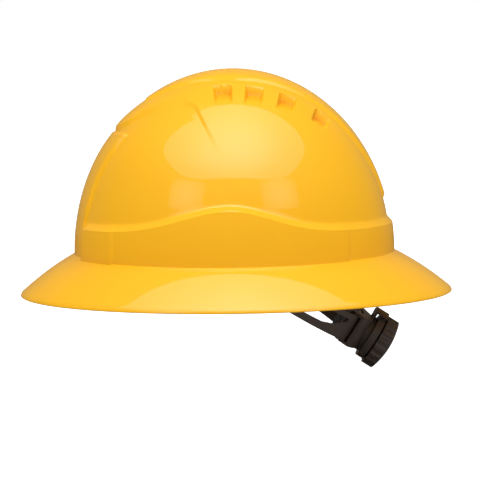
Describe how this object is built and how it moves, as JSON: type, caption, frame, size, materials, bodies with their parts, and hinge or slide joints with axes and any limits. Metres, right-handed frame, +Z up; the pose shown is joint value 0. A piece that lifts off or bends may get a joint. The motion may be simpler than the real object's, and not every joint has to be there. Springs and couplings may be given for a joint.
{
  "type": "full brim hard hat",
  "caption": "Full brim hard hat with a crested shell, a webbing suspension, and a tilting nape strap with a working rack and pinion ratchet.",
  "frame": {"origin": "centre of the headband's loop at half its height", "axes": "+Z up, the front towards -Y, the wearer's left towards +X"},
  "size_m": [0.276, 0.33, 0.231],
  "materials": {
    "shell_plastic": "glossy moulded amber yellow",
    "nape_plastic": "satin brown black moulded plastic",
    "band_plastic": "satin dark grey moulded plastic",
    "gear_plastic": "natural self-lubricating plastic",
    "webbing": "woven polyester webbing",
    "pad_foam": "fabric covered foam",
    "screw_steel": "zinc plated steel"
  },
  "bodies": {
    "root": {"shell": "shell_plastic", "crown_pad": "pad_foam", "headband": "band_plastic", "brow_pad": "pad_foam", "rear_left_key": "band_plastic", "rear_right_key": "band_plastic", "front_right_key": "band_plastic", "front_left_key": "band_plastic", "upper_crown_strap": "webbing", "lower_crown_strap": "webbing"},
    "nape_pivots": {"left_pivot_button": "band_plastic", "right_pivot_button": "band_plastic"},
    "ratchet": {"ratchet_housing": "nape_plastic", "back_plate": "nape_plastic", "nape_pad": "pad_foam", "click_ring": "gear_plastic"},
    "left_arm": {"left_nape_arm": "nape_plastic"},
    "right_arm": {"right_nape_arm": "nape_plastic"},
    "knob": {"knob": "nape_plastic", "drive_pinion": "gear_plastic", "pawl_spring": "gear_plastic", "knob_screw": "screw_steel"}
  },
  "joints": [
    {"name": "nape_swing", "type": "hinge", "parent": "root", "child": "nape_pivots", "pos_m": [0, 0.025, 0], "axis": [1, 0, 0], "range_deg": [-20, 8]},
    {"name": "size_slide", "type": "slide", "parent": "nape_pivots", "child": "ratchet", "axis": [0, 0.8387, -0.5446], "range_m": [-0.01443, 0.01443]},
    {"name": "left_arm_turn", "type": "hinge", "parent": "ratchet", "child": "left_arm", "pos_m": [0, 0.025, 0], "axis": [0, 0.5446, 0.8387], "range_deg": [-10, 10]},
    {"name": "right_arm_turn", "type": "hinge", "parent": "ratchet", "child": "right_arm", "pos_m": [0, 0.025, 0], "axis": [0, 0.5446, 0.8387], "range_deg": [-10, 10]},
    {"name": "knob_turn", "type": "hinge", "parent": "ratchet", "child": "knob", "pos_m": [0, 0.025, 0], "axis": [0, 0.8387, -0.5446], "range_deg": [-138, 138]}
  ],
  "couplings": [
    {"joint": "knob_turn", "follows": "size_slide", "rad_per_m": 166.67},
    {"joint": "left_arm_turn", "follows": "size_slide", "rad_per_m": -12.085},
    {"joint": "right_arm_turn", "follows": "size_slide", "rad_per_m": 12.085}
  ]
}
